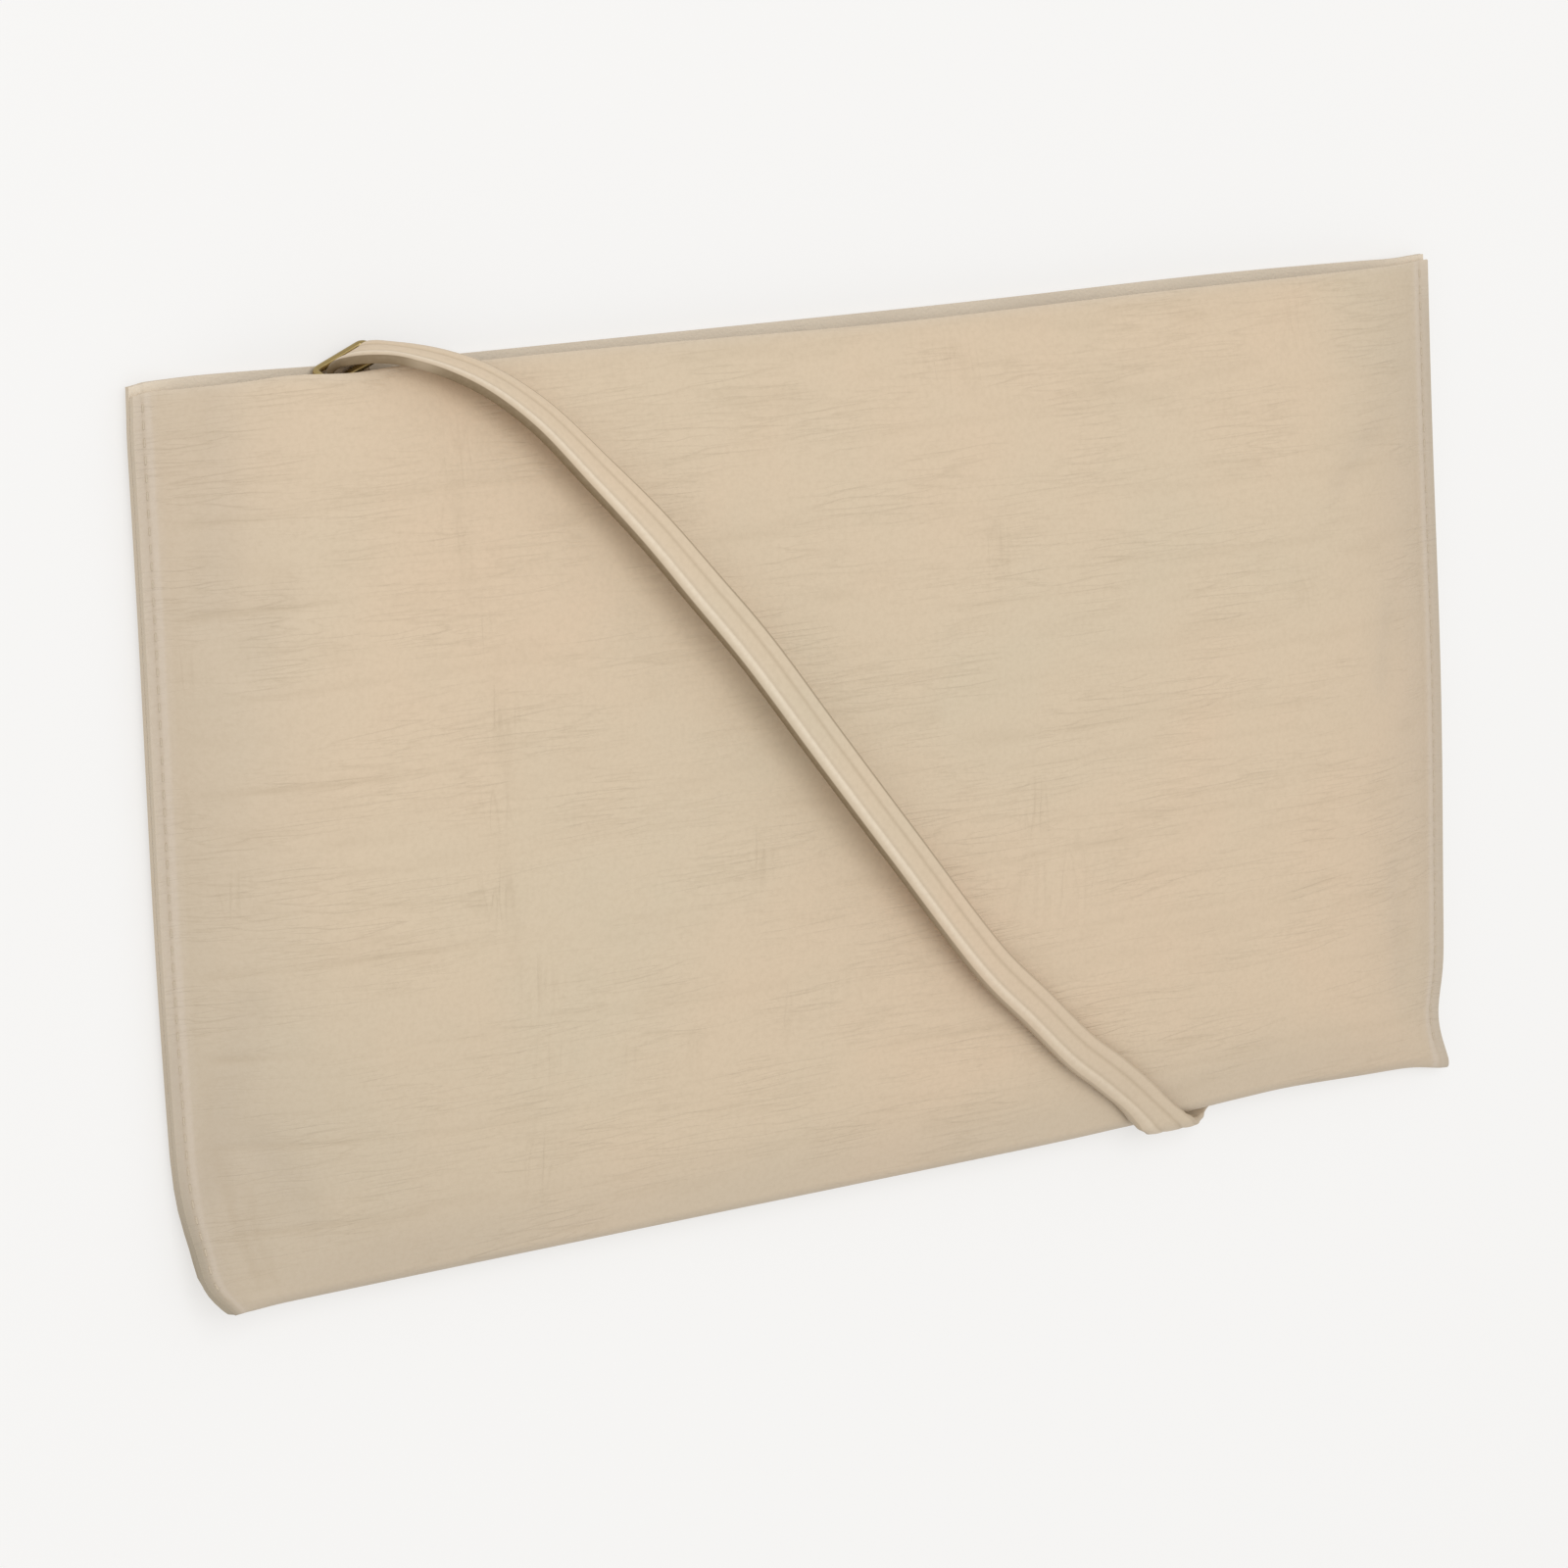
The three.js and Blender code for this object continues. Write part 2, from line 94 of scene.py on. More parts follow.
hollows = [  # x, y, length, angle, half width, depth
    (-158, 74, 46, 84, 5, 1.1), (-150, 47, 14, 60, 5, 0.9), (-163, -52, 40, 74, 4, 1.0),
    (-151, -74, 26, 118, 4, 0.9), (147, 55, 20, 38, 4, 0.9), (153, 8, 16, 80, 4, 0.8),
    (158, -62, 30, 96, 4, 0.8),
]

# How the outline leaves the plain rectangle, how the lower left corner curls in, and how the rims rise
outlineMoves = [  # x, y, spread across and up, move across and up
    (-175, 0, 40, 400, 1.0, 0), (-175, -25, 40, 62, -1.1, 0),
    (-175, 100, 3, 7, 0.4, -0.6), (-175, -93, 9, 6, -1.7, -0.5),
    (175, 0, 40, 300, -0.6, 0), (175, -5, 40, 55, 1.3, 0),
    (175, 100, 6, 8, 0, 0.6), (175, -87, 12, 9, -2.0, 0),
    (175, -100, 7, 5, 1.8, -1.8), (0, -100, 600, 26, 0, 1.0), (117, -100, 36, 26, 0, 2.0),
]
curl = {"across": 80, "up": 42, "power": 3, "shift": (8.6, 1.2, 7.4)}
frontRises = [(-139, 11, 0.9), (-114, 9, 0.8), (15, 55, -1.0)]  # x, spread, rise
backRises = [(-160, 35, 1.0), (115, 55, 0.85)]

# Painted shade: how much darker the leather is painted along each edge, in the hollows and at the lower left
# corner: strength and spread from each edge
handled = {
    "left": (0.5, 28), "right": (0.42, 26), "mouth": (0.15, 5),
    "fold": (0.42, 14), "foldFrom": 2, "foldLine": (0.6, 2.5), "foldLineFrom": 1.5,
    "corner": (0.3, 55), "cornerAt": (-150, -80), "cornerTall": 1.4, "inHollows": 0.11,
}

# Painted shade along the two side edges, which grows at the left towards the curled corner
tucked = {
    "right": 0.34, "left": 0.12,
    "growth": [(0.2, -20, 30), (0.46, -55, 35)],  # how much more, from which y down, over what run
    "top": 104, "topRun": 20,
    "near": (0.65, 1.6), "nearFrom": 0.6, "wide": (0.35, 5),
}

# Tints beside the rims and outside the seam lines: where they end and how fast
tints = {"rim": 1.0, "side": 0.7, "marginPast": 0.4, "marginRun": 1.2}


def smooth(t):
    s = np.clip(t, 0, 1)
    return s * s * (3 - 2 * s)


def bump(distance, half):
    return np.exp(-((distance / half) ** 2))


# The shape in which the pouch lies

def insideSeam(x):
    return pouch["width"] / 2 - pouch["seamWidth"] - np.abs(x)


def sideRise(x):
    a = np.clip(insideSeam(x) / pouch["sideRun"], 0, 1)
    return 1 - (1 - a) ** pouch["sidePower"]


def crown(y):
    v = np.clip(y / pouch["height"] + 0.5, 0, 1)
    belly = 1 - np.abs(2 * v - 1) ** pouch["bellyPower"]
    return pouch["foldCrown"] + (pouch["mouthCrown"] - pouch["foldCrown"]) * v + pouch["bellyRise"] * belly


def mouthLift(x, y):
    place, rise, across, down = pouch["mouthGap"]
    return rise * bump(x - place, across) * bump(np.maximum(0, pouch["height"] / 2 - y), down)


def hollowSum(x, y):
    total = np.zeros(np.broadcast(x, y).shape)
    for px, py, length, angle, half, depth in hollows:
        c, s = math.cos(math.radians(angle)), math.sin(math.radians(angle))
        along = (x - px) * c + (y - py) * s
        across = -(x - px) * s + (y - py) * c
        past = np.maximum(0, np.abs(along) - length / 2)
        total = total + depth * bump(across, half) * bump(past, half)
    return total


def frontSkin(x, y):
    top = pouch["seamTop"]
    calm = smooth(insideSeam(x) / pouch["hollowEdge"])
    return top + (crown(y) - top) * sideRise(x) + (mouthLift(x, y) - hollowSum(x, y)) * calm


def channel(x, y):  # the shallow trough in the back that the strap's end lies in
    end = np.array([strap["endX"], strap["endY"]], float)
    start = np.array([strap["wrapX"] + strap["wrapAdvance"], strap["wrapY"]], float)
    start = start - (end - start) / np.linalg.norm(end - start) * strap["channelAhead"]
    run = end - start
    t = np.clip(((x - start[0]) * run[0] + (y - start[1]) * run[1]) / (run @ run), 0, 1)
    away = np.hypot(x - start[0] - run[0] * t, y - start[1] - run[1] * t)
    return strap["channelLift"] * (1 - smooth((away - strap["channelHalf"]) / strap["channelRun"]))


def backSkin(x, y):
    return pouch["seamLow"] * (1 - smooth(insideSeam(x) / pouch["backRun"])) + channel(x, y)


def waveSum(waves, row, x):
    return sum(size * np.sin(x / length + row * step) for length, size, step in waves)


def rowLine(row, x):
    fan = 1 + emboss["fan"] * smooth((x + pouch["width"] / 2) / emboss["fanRun"])
    return (emboss["firstRow"] - row * emboss["rowPitch"]) * fan + waveSum(wanderWaves, row, x)


def rowStrength(row, x):
    wave = np.clip(emboss["middle"] + waveSum(depthWaves, row, x), 0, 1)
    return wave * (emboss["least"] + (1 - emboss["least"]) * bump(x + pouch["width"] / 2, emboss["clear"]))


def drape(x, y, z):
    acrossLeft = np.maximum(0, 1 - (x + pouch["width"] / 2) / curl["across"])
    upLeft = np.maximum(0, 1 - (y + pouch["height"] / 2) / curl["up"])
    share = (acrossLeft * upLeft) ** curl["power"]
    dx, dy, dz = [part * share for part in curl["shift"]]
    for px, py, across, up, moveX, moveY in outlineMoves:
        near = bump(x - px, across) * bump(y - py, up)
        dx = dx + moveX * near
        dy = dy + moveY * near
    return x + dx, y + dy, z + dz


def rimLine(level, rises, x):
    return level + sum(rise * bump(x - place, spread) for place, spread, rise in rises)


def frontRim(x):
    return rimLine(pouch["height"] / 2 - pouch["frontShort"], frontRises, x)


def backRim(x):
    return rimLine(pouch["height"] / 2, backRises, x)


def smallCreases():
    dice = np.random.default_rng(scatter["seed"])
    found = []
    for _ in range(scatter["count"]):
        x = dice.uniform(*scatter["across"])
        y = dice.uniform(*scatter["up"])
        half = dice.uniform(*scatter["length"]) / 2
        slant = math.radians(dice.normal(0, scatter["slant"] / 2))
        dx, dy = half * math.cos(slant), half * math.sin(slant)
        wide = dice.uniform(*scatter["half"])
        deep = dice.uniform(*scatter["depth"])
        found.append((x - dx, y - dy, x + dx, y + dy, wide, deep))
    return found


def uprightPatches(x, y):
    return sum(share * bump(x - px, across) * bump(y - py, up) for px, py, across, up, share in uprights)


def fade(setting, distance):
    strength, spread = setting
    return strength * bump(distance, spread)


# Painted shade: darker along the edges, in the hollows and at the lower left corner
def paintedShadeAmount(x, y):
    fromLeft, fromRight = pouch["width"] / 2 + x, pouch["width"] / 2 - x
    fromFold, fromMouth = pouch["height"] / 2 + y, pouch["height"] / 2 - y
    edges = [
        fade(handled["left"], fromLeft),
        fade(handled["right"], fromRight),
        fade(handled["fold"], np.maximum(0, fromFold - handled["foldFrom"])),
        fade(handled["foldLine"], np.maximum(0, fromFold - handled["foldLineFrom"])),
        fade(handled["mouth"], fromMouth),
    ]
    cornerX, cornerY = handled["cornerAt"]
    corner = fade(handled["corner"], np.hypot(x - cornerX, handled["cornerTall"] * (y - cornerY)))
    return np.maximum.reduce(edges) + corner + handled["inHollows"] * hollowSum(x, y)


def sideShadeAmount(x, y):
    fromEdge = pouch["width"] / 2 - np.abs(x)
    atLeft = tucked["left"] + sum(more * smooth((level - y) / run) for more, level, run in tucked["growth"])
    share = np.where(x < 0, atLeft, tucked["right"]) * smooth((tucked["top"] - y) / tucked["topRun"])
    near = fade(tucked["near"], np.maximum(0, fromEdge - tucked["nearFrom"]))
    return share * (near + fade(tucked["wide"], fromEdge))


def embossDepth(x, y):
    # How far the surface is pressed in, and how much painted shade the crease gets, both from the same lines
    depth, shade = np.zeros(x.shape), np.zeros(x.shape)
    for row in range(emboss["rows"]):
        away = y - rowLine(row, x)
        strength = rowStrength(row, x)
        line = strength * bump(away, emboss["rowHalf"])
        lip = strength * bump(away + emboss["lipBelow"], emboss["lipHalf"])
        depth += emboss["rowDepth"] * line - emboss["lipHeight"] * lip
        shade += line
    for x0, y0, x1, y1, half, deep in creases + smallCreases():
        run = np.array([x1 - x0, y1 - y0])
        length = float(np.hypot(*run))
        run = run / length
        along = (x - x0) * run[0] + (y - y0) * run[1]
        across = (y - y0) * run[0] - (x - x0) * run[1]
        bend = emboss["creaseBend"] * length * np.sin(np.pi * np.clip(along / length, 0, 1) + x0)
        ends = smooth(along / emboss["creaseEnd"]) * smooth((length - along) / emboss["creaseEnd"])
        line = bump(across - bend, half) * ends
        depth += deep * line
        shade += emboss["shadeOfDepth"] * deep * line
    calm = smooth(insideSeam(x) / emboss["edgeRun"])
    return depth * calm, np.clip(shade, 0, 1) * calm


# Meshes from arrays of points

def deselectAll():
    if bpy.context.mode != "OBJECT":
        bpy.ops.object.mode_set(mode="OBJECT")
    bpy.ops.object.select_all(action="DESELECT")


def makeActive(piece):
    deselectAll()
    piece.select_set(True)
    bpy.context.view_layer.objects.active = piece


def gridPiece(name, points, closedAcross=False, capped=False):
    rows, across = points.shape[:2]
    wrapAt = across if closedAcross else across - 1
    faces = []
    for i in range(rows - 1):
        for k in range(wrapAt):
            n = (k + 1) % across
            faces.append((i * across + k, (i + 1) * across + k, (i + 1) * across + n, i * across + n))
    if capped:
        faces.append(tuple(range(across)))
        faces.append(tuple(reversed(range((rows - 1) * across, rows * across))))
    mesh = bpy.data.meshes.new(name)
    mesh.from_pydata((points.reshape(-1, 3) * mm).tolist(), [], faces)
    mesh.update()
    piece = bpy.data.objects.new(name, mesh)
    bpy.context.scene.collection.objects.link(piece)
    return piece


def paintPoints(piece, name, values):
    layer = piece.data.attributes.new(name, "FLOAT", "POINT")
    layer.data.foreach_set("value", np.asarray(values, np.float32).ravel())


def applyModifier(piece, kind, **settings):
    makeActive(piece)
    modifier = piece.modifiers.new(kind.title(), kind)
    for key, value in settings.items():
        setattr(modifier, key, value)
    bpy.ops.object.modifier_apply(modifier=modifier.name)


def facesOut():
    bpy.ops.object.mode_set(mode="EDIT")
    bpy.ops.mesh.select_all(action="SELECT")
    bpy.ops.mesh.normals_make_consistent(inside=False)
    bpy.ops.object.mode_set(mode="OBJECT")


def smoothShade(piece, angle=40):
    makeActive(piece)
    bpy.ops.object.shade_smooth_by_angle(angle=math.radians(angle))


# The pouch's leather: one sheet of columns across and rows down the front, round the fold and up the back

def columnPlaces():
    edge, crowding = pouch["width"] / 2, pouch["crowding"]
    s = np.linspace(-1, 1, pouch["columns"])
    inner = (edge - pouch["seamWidth"]) * ((1 + crowding) * s - crowding * s ** 3)
    margin = np.array([0, 0.4, 1.1, 1.8, 2.2, 2.5, 2.8, 3.2, 4.0])  # from the edge, closest at the seam
    return np.concatenate([-edge + margin, inner, (edge - margin)[::-1]])


def between(upper, lower, count):
    return [upper + (lower - upper) * (k / (count + 1)) for k in range(1, count + 1)]


def sheetRows(x):
    # Places along the leather from the front's rim down to the fold, and from there up the back
    nearRow = [1.7, 0.8, 0, -0.8, -1.7]  # round each line of the emboss
    reach = nearRow[0]
    nearRim, nearBackRim = [0, 0.3, 0.9], [1, 0.3, 0]  # below each cut rim
    rows = [rowLine(row, x) for row in range(emboss["rows"])]
    foldLine = np.full(x.shape, -pouch["height"] / 2 + pouch["foldDepth"])
    mouth, rim = frontRim(x), backRim(x)
    front = [mouth - below for below in nearRim]
    above = front[-1]
    for line in rows:
        front += between(above, line + reach, rowCounts["top" if line is rows[0] else "front"])
        front += [line + offset for offset in nearRow]
        above = line - reach
    front += between(above, foldLine, rowCounts["bottom"])
    back = between(foldLine, above, rowCounts["backBottom"])
    for line in reversed(rows):
        back += [line + offset for offset in reversed(nearRow)]
        if line is not rows[0]:
            back += between(line + reach, line + emboss["rowPitch"] - reach, rowCounts["back"])
    back += between(rows[0] + reach, rim - nearBackRim[0], rowCounts["backTop"])
    back += [rim - below for below in nearBackRim]
    return np.array(front), foldLine, np.array(back)


def seamGroove(x):
    fromEdge = pouch["width"] / 2 - np.abs(x)
    return sewing["grooveDepth"] * bump(fromEdge - sewing["fromEdge"], sewing["grooveHalf"])


def buildPouch():
    x = columnPlaces()
    front, foldLine, back = sheetRows(x)
    wide = np.broadcast_to(x, front.shape)
    depth, frontShade = embossDepth(wide, front)
    top = frontSkin(wide, front) - depth - seamGroove(wide)
    top[0] -= pouch["rimEase"]  # the cut rim is eased
    high, low = frontSkin(x, foldLine), backSkin(x, foldLine)
    turn = np.linspace(0, math.pi, pouch["foldSteps"])[:, None]
    foldY = foldLine - pouch["foldDepth"] * np.sin(turn)
    foldZ = (high + low) / 2 + (high - low) / 2 * np.cos(turn)
    wide = np.broadcast_to(x, back.shape)
    depth, backShade = embossDepth(-wide, back)
    under = backSkin(wide, back) + np.maximum(0, depth) + seamGroove(wide)
    y = np.concatenate([front, foldY, back])
    z = np.concatenate([top, foldZ, under])
    wide = np.broadcast_to(x, y.shape)
    piece = gridPiece("pouchLeather", np.stack(drape(wide, y, z), axis=2))
    rims = np.zeros(y.shape)
    rims[:len(front)] = bump(frontRim(x) - front, tints["rim"])
    rims[-len(back):] = bump(backRim(x) - back, tints["rim"])
    fromEdge = pouch["width"] / 2 - np.abs(wide)
    # painted shade along the seam groove, added to the painted shade of the creases
    seamLine = fade(sewing["lineShade"], fromEdge - sewing["fromEdge"])
    marginEnd = pouch["seamWidth"] + tints["marginPast"]
    paintPoints(piece, "crease", np.concatenate([frontShade, np.zeros(foldY.shape), backShade]) + seamLine)
    paintPoints(piece, "rim", np.maximum(rims, bump(fromEdge, tints["side"])))
    paintPoints(piece, "margin", smooth((marginEnd - fromEdge) / tints["marginRun"]))
    paintPoints(piece, "upright", np.clip(uprightPatches(wide, y), 0, 1))
    # painted shade along the edges, in the hollows and at the lower left corner
    paintPoints(piece, "handled", paintedShadeAmount(wide, y))
    # painted shade along the side edges
    paintPoints(piece, "tucked", sideShadeAmount(wide, y))
    for finish in (leatherFinish, fleshFinish, edgeFinish):
        piece.data.materials.append(finish)
    applyModifier(piece, "SOLIDIFY", thickness=pouch["leather"] * mm, offset=-1, use_even_offset=False,
                  material_offset=1, material_offset_rim=2)
    smoothShade(piece)
    print("pouch leather:", len(piece.data.polygons), "faces")
    return piece


# The strap: a strip of leather that comes out of the mouth, crosses the front and goes round the fold
strap = {
    "width": 10, "thick": 2.2, "roundEdge": 0.8,
    "crown": 0.2,  # how much its outer face swells
    "bead": 0.1, "beadIn": 1.9, "beadHalf": 0.8,  # the rounded bead along each edge
    "lineIn": 3.2, "lineDepth": 0.16, "lineHalf": 0.35,  # the creased line inside each bead
    "steps": 640, "edgeZone": 3.4, "edgeColumns": 13, "underColumns": 7,
    "middleColumns": [-1, -0.35, 0.35, 1],
    "backShares": [0.12, 0.4, 0.7, 1],  # stations from the fold to the sewn end
    "wrapX": 80.5, "wrapY": -95.8, "wrapRadius": 4.5, "wrapAdvance": 17.5, "wrapSteps": 5,
    "endX": 129, "endY": -68, "nearFold": 6, "fade": 26,
    "channelLift": 2.6, "channelHalf": 7.5, "channelRun": 13, "channelAhead": 13,
}
strapRun = [  # x, y, z of its middle, and the way its outer face looks
    (-111.5, 72.5, 3.3, 0, 0, -1),
    (-117.2, 86.0, 3.4, 0, 0, -1),
    (-121.4, 95.8, 3.9, -0.06, 0.14, -0.99),
    (-123.5, 100.7, 5.6, -0.2, 0.45, -0.87),
    (-122.8, 103.1, 9.2, -0.36, 0.92, -0.1),
    (-119.6, 103.5, 11.9, -0.24, 0.95, 0.18),
    (-112.7, 102.2, 13.3, -0.08, 0.94, 0.34),
    (-103.8, 99.4, 14.6, 0.1, 0.84, 0.52),
    (-94.6, 94.9, 16.0, 0.18, 0.7, 0.68),
    (-83.9, 86.7, 17.9, 0.2, 0.54, 0.81),
    (-71.8, 73.4, 20.7, 0.16, 0.36, 0.91),
    (-60.8, 60.7, 23.4, 0.1, 0.2, 0.97),
    (-49.7, 46.6, 25.6, 0.04, 0.08, 1),
    (-37.9, 32.0, 26.8, 0, 0, 1),
    (-19.8, 7.7, 27.0, 0, 0, 1),
    (-0.7, -16.9, 26.0, 0, 0, 1),
    (27.4, -49.6, 20.2, 0, 0, 1),
    (41.2, -62.2, 17.5, 0, -0.04, 1),
    (54.9, -74.9, 15.0, 0.01, -0.1, 1),
    (64.5, -82.2, 13.5, 0.02, -0.16, 0.98),
    (73.0, -89.0, 11.6, 0.03, -0.22, 0.97),
]
strapShade = {
    # painted highlight: the bead on the edge that faces the camera is painted pale
    "bead": (1, 1.0), "beadIn": 2.5, "beadFade": 0.6,  # the bead that faces the camera is pale
    # painted shade where the face rolls over into the edge
    "rollShade": (0.24, 1.1), "rollShadeIn": 0.3,  # outside it the leather darkens into the painted edge
    # the dark edge paint also carries painted shade: more on the near edge than on the far one, less beside
    # the ring and towards the fold
    "paint": 0.92, "farPaint": 0.6,
    "atRing": (0.3, 4), "ringX": -111,  # the paint is thinner beside the ring
    "atFold": 0.6, "foldX": -10, "foldRun": 80,  # and towards the fold
    # painted shade: the lower end is painted a little darker
    "lower": 0.28, "lowerRun": 90,  # the lower end is a little darker
}


def curveThrough(stations, steps):
    # A smooth curve through every station, paced by the square root of the gaps between them
    points = np.array(stations, float)
    p = np.vstack([2 * points[0] - points[1], points, 2 * points[-1] - points[-2]])
    gap = np.linalg.norm(np.diff(p[:, :3], axis=0), axis=1) ** 0.5
    spans = len(points) - 1
    found = []
    for t in np.linspace(0, spans, steps + 1):
        i = min(int(t), spans - 1)
        u = t - i
        p0, p1, p2, p3 = p[i:i + 4]
        g0, g1, g2 = gap[i:i + 3]
        m1 = ((p1 - p0) / g0 - (p2 - p0) / (g0 + g1) + (p2 - p1) / g1) * g1
        m2 = ((p2 - p1) / g1 - (p3 - p1) / (g1 + g2) + (p3 - p2) / g2) * g1
        a, b = 2 * u ** 3 - 3 * u ** 2 + 1, u ** 3 - 2 * u ** 2 + u
        found.append(a * p1 + b * m1 + (1 - a) * p2 + (u ** 3 - u ** 2) * m2)
    return np.array(found)


def strapStations():
    turned = []
    for k in range(strap["wrapSteps"] + 1):
        turn = math.pi * k / strap["wrapSteps"]
        turned.append((
            strap["wrapX"] + strap["wrapAdvance"] * k / strap["wrapSteps"],
            strap["wrapY"] - strap["wrapRadius"] * math.sin(turn),
            strap["thick"] / 2 + strap["wrapRadius"] * (1 + math.cos(turn)),
            0, -math.sin(turn), math.cos(turn),
        ))
    x, y, z = turned[-1][:3]
    runX, runY = strap["endX"] - x, strap["endY"] - y
    flat = [(x + runX * t, y + runY * t, z, 0, 0, -1) for t in strap["backShares"]]
    return strapRun + turned + flat


def foldShare(y):
    return 1 - smooth((y + pouch["height"] / 2 - strap["nearFold"]) / strap["fade"])


def unit(v):
    return v / np.linalg.norm(v, axis=-1, keepdims=True)


def strapFrames():
    run = curveThrough(strapStations(), strap["steps"])
    centre = run[:, :3]
    centre[:, 2] = np.maximum(centre[:, 2], strap["thick"] / 2)
    along = unit(np.gradient(centre, axis=0))
    out = run[:, 3:]
    out = unit(out - (out * along).sum(1, keepdims=True) * along)
    side = np.cross(along, out)
    # near the fold the section slants until it lies along the fold
    withFold = np.array([1.0, 0, 0]) / side[:, :1]
    share = foldShare(centre[:, 1])[:, None]
    return centre, along, side + (withFold - side) * share, out


def strapSection():
    # The outline across, and for each point if it is on the outer face (0), an edge (1) or the underside (2)
    half, thick, r = strap["width"] / 2, strap["thick"] / 2, strap["roundEdge"]
    nearEdge = np.linspace(half - strap["edgeZone"], half - r, strap["edgeColumns"])
    s = np.concatenate([-nearEdge[::-1], strap["middleColumns"], nearEdge])
    inward = half - np.abs(s)
    swell = strap["crown"] * (1 - (s / (half - r)) ** 2)
    swell = swell + strap["bead"] * bump(inward - strap["beadIn"], strap["beadHalf"])
    pressed = strap["lineDepth"] * bump(inward - strap["lineIn"], strap["lineHalf"])
    top = thick - strap["crown"]
    upper = np.stack([s, top + swell - pressed], 1)
    corner = [(math.cos(a), math.sin(a)) for a in np.radians([70, 50, 30, 10])]  # round its edge
    right = [(half - r + r * c, top - r + r * b) for c, b in corner]
    rightLow = [(half - r + r * c, -thick + r - r * b) for c, b in reversed(corner)]
    lower = [(v, -thick) for v in np.linspace(half - r, -half + r, strap["underColumns"])]
    leftLow = [(-v, w) for v, w in reversed(rightLow)]
    left = [(-v, w) for v, w in reversed(right)]
    outline = list(map(tuple, upper)) + right + rightLow + lower + leftLow + left
    edge = [1] * (2 * len(corner))
    kind = [0] * len(upper) + edge + [2] * len(lower) + edge
    return np.array(outline), np.array(kind)


def buildStrap():
    centre, along, side, out = strapFrames()
    outline, kind = strapSection()
    points = centre[:, None] + outline[None, :, :1] * side[:, None] + outline[None, :, 1:] * out[:, None]
    points[:, :, 2] = np.maximum(points[:, :, 2], 0)
    piece = gridPiece("strapLeather", points, closedAcross=True, capped=True)
    across, x, shade = outline[:, 0], centre[:, 0], strapShade
    onFace = kind == 0
    fromEdge = strap["width"] / 2 - across
    inward = strap["width"] / 2 - np.abs(across)
    # painted shade along the strap's pressed lines
    lines = bump(inward - strap["lineIn"], strap["lineHalf"]) * onFace
    # painted highlight on the bead that faces the camera
    beadHighlight = fade(shade["bead"], fromEdge - shade["beadIn"]) * onFace
    # painted shade where the face rolls over into the edge, joined to the edge paint
    rollShaded = fade(shade["rollShade"], fromEdge - shade["rollShadeIn"]) * onFace
    # dark edge paint with painted shade, fuller on the near edge than on the far one
    paintAndShadeAcross = rollShaded + (kind == 1) * np.where(across > 0, 1, shade["farPaint"])
    # how much of it along the strap: painted shade that is lighter beside the ring and towards the fold
    wearAndShade = shade["paint"] - fade(shade["atRing"], x - shade["ringX"])
    wearAndShade = wearAndShade - shade["atFold"] * smooth((x - shade["foldX"]) / shade["foldRun"])
    lower = smooth(x / shade["lowerRun"])[:, None]
    paintPoints(piece, "crease", np.tile(lines, len(points)))
    paintPoints(piece, "bead", beadHighlight * (1 - shade["beadFade"] * lower))
    # painted shade on the strap's lower end
    paintPoints(piece, "handled", shade["lower"] * lower * np.ones(len(outline)))
    paintPoints(piece, "paint", wearAndShade[:, None] * paintAndShadeAcross)
    piece.data.materials.append(strapFinish)
    makeActive(piece)
    facesOut()
    smoothShade(piece, angle=50)
    length = np.linalg.norm(np.diff(centre, axis=0), axis=1).sum()
    print("strap:", len(piece.data.polygons), "faces,", round(float(length), 1), "mm long")
    return piece


# The wire ring that leans in the mouth around the strap
ring = {
    "wire": 1.8, "long": 13.1, "short": 6.2, "corner": 1.3,
    "centre": (-123.4, 100.9, 5.7), "slant": 23, "lean": 25,
    "sides": 20, "cornerSteps": 8, "straightSteps": 3,
}


def buildRing():
    # A round section of wire, spun round each corner and drawn along each side
    c = Vector(ring["centre"])
    slant, lean = math.radians(ring["slant"]), math.radians(ring["lean"])
    longWay = Vector((math.cos(slant), math.sin(slant), 0))
    upWay = Vector((-math.sin(slant), math.cos(slant), 0))
    shortWay = Vector((0, 0, math.cos(lean))) - upWay * math.sin(lean)
    axis = longWay.cross(shortWay).normalized()
    longHalf, shortHalf = ring["long"] / 2 - ring["corner"], ring["short"] / 2 - ring["corner"]
    start = c + longWay * (longHalf + ring["corner"]) - shortWay * shortHalf
    turn = Matrix((longWay, axis, -shortWay)).transposed().to_euler()
    deselectAll()
    bpy.ops.mesh.primitive_circle_add(
        vertices=ring["sides"], radius=ring["wire"] / 2 * mm, location=start * mm, rotation=turn)
    piece = bpy.context.object
    piece.name = piece.data.name = "ringWire"
    bpy.ops.object.mode_set(mode="EDIT")
    bpy.ops.mesh.select_all(action="SELECT")
    corners = [(1, 1, shortWay), (-1, 1, -longWay), (-1, -1, -shortWay), (1, -1, longWay)]
    for signLong, signShort, way in corners:
        reach = 2 * (shortHalf if way in (shortWay, -shortWay) else longHalf)
        for _ in range(ring["straightSteps"]):
            bpy.ops.mesh.extrude_region_move(
                TRANSFORM_OT_translate={"value": way * (reach / ring["straightSteps"] * mm)})
        pivot = c + longWay * (signLong * longHalf) + shortWay * (signShort * shortHalf)
        bpy.ops.mesh.spin(steps=ring["cornerSteps"], angle=math.radians(-90), center=pivot * mm, axis=axis)
    bpy.ops.mesh.select_all(action="SELECT")
    bpy.ops.mesh.remove_doubles(threshold=0.02 * mm)
    bpy.ops.object.mode_set(mode="OBJECT")
    bpy.ops.object.transform_apply(location=True, rotation=True, scale=True)
    facesOut()
    piece.data.materials.append(goldFinish)
    smoothShade(piece, angle=60)
    print("ring:", len(piece.data.polygons), "faces")
    return piece


